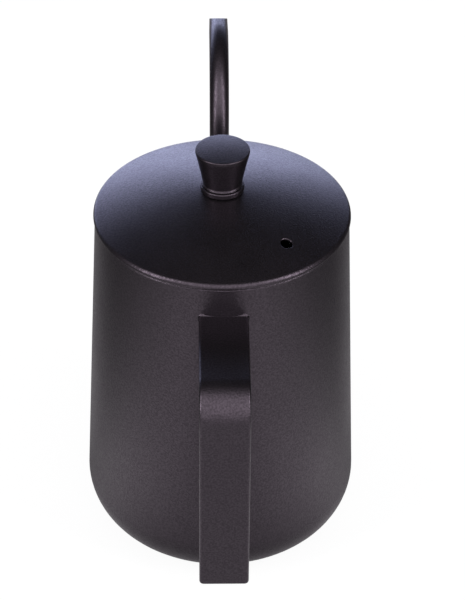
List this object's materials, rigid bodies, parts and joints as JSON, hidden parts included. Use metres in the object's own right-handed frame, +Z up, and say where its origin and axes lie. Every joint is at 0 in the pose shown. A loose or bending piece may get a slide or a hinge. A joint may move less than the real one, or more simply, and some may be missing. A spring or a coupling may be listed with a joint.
{
  "type": "electric kettle",
  "caption": "Matte black gooseneck electric kettle jug with a strap handle, a lift-off lid with a knob, a sealed heating floor and a coupler socket under its base.",
  "frame": {"origin": "centre of the coupler socket's mouth, on the body's axis, in the plane that the kettle stands on", "axes": "+Z up along the body axis, +Y towards the spout, the handle towards -Y, +X to the right seen from the handle side"},
  "size_m": [0.1116, 0.25, 0.1773],
  "materials": {
    "black_coating": "satin, fine grain",
    "bare_steel": "satin",
    "zinc_steel": "plated",
    "spreader_aluminium": "cast",
    "element_sheath": "heat dulled",
    "contact_brass": "polished",
    "red_silicone": "matte",
    "black_silicone": "matte",
    "black_plastic": "matte",
    "cream_plastic": "matte",
    "white_insulation": "matte",
    "brown_insulation": "matte",
    "blue_insulation": "matte",
    "green_insulation": "matte"
  },
  "bodies": {
    "kettle": {"body_shell": "black_coating", "mouth_ring": "bare_steel", "spout_tube": "black_coating", "spout_collar": "black_coating", "handle_strap": "black_coating", "handle_bracket": "black_coating", "handle_screws": "zinc_steel", "floor_plate": "bare_steel", "heat_spreader": "spreader_aluminium", "heating_element": "element_sheath", "element_terminals": "contact_brass", "temp_probe": "bare_steel", "probe_gasket": "red_silicone", "probe_nut": "bare_steel", "probe_lead": "white_insulation", "thermal_fuse": "cream_plastic", "cutout_housing": "cream_plastic", "bimetal_disc": "element_sheath", "contact_leaf": "contact_brass", "coupler_socket": "black_plastic", "contact_pin": "contact_brass", "contact_ring_inner": "contact_brass", "contact_ring_outer": "contact_brass", "lead_live": "brown_insulation", "lead_neutral": "blue_insulation", "lead_earth": "green_insulation", "base_studs": "bare_steel", "base_cover": "black_plastic", "base_screws": "zinc_steel", "foot_pads": "black_silicone"},
    "lid_seal": {"lid_seal": "black_silicone"},
    "lid": {"lid_disc": "black_coating", "lid_inner": "bare_steel", "knob_collar": "black_coating", "knob": "black_coating", "knob_screw": "zinc_steel", "knob_washer": "bare_steel"},
    "plunger": {"cutout_plunger": "cream_plastic"}
  },
  "joints": [
    {"name": "lid_lift", "type": "slide", "parent": "kettle", "child": "lid_seal", "axis": [0, 0, 1], "range_m": [0, 0.08]},
    {"name": "lid_turn", "type": "hinge", "parent": "lid_seal", "child": "lid", "pos_m": [0, 0, 0.1476], "axis": [0, 0, 1], "continuous": true},
    {"name": "cutout_push", "type": "slide", "parent": "kettle", "child": "plunger", "axis": [0, 0, -1], "range_m": [0, 0.0005], "stiffness_N_per_m": 400}
  ]
}
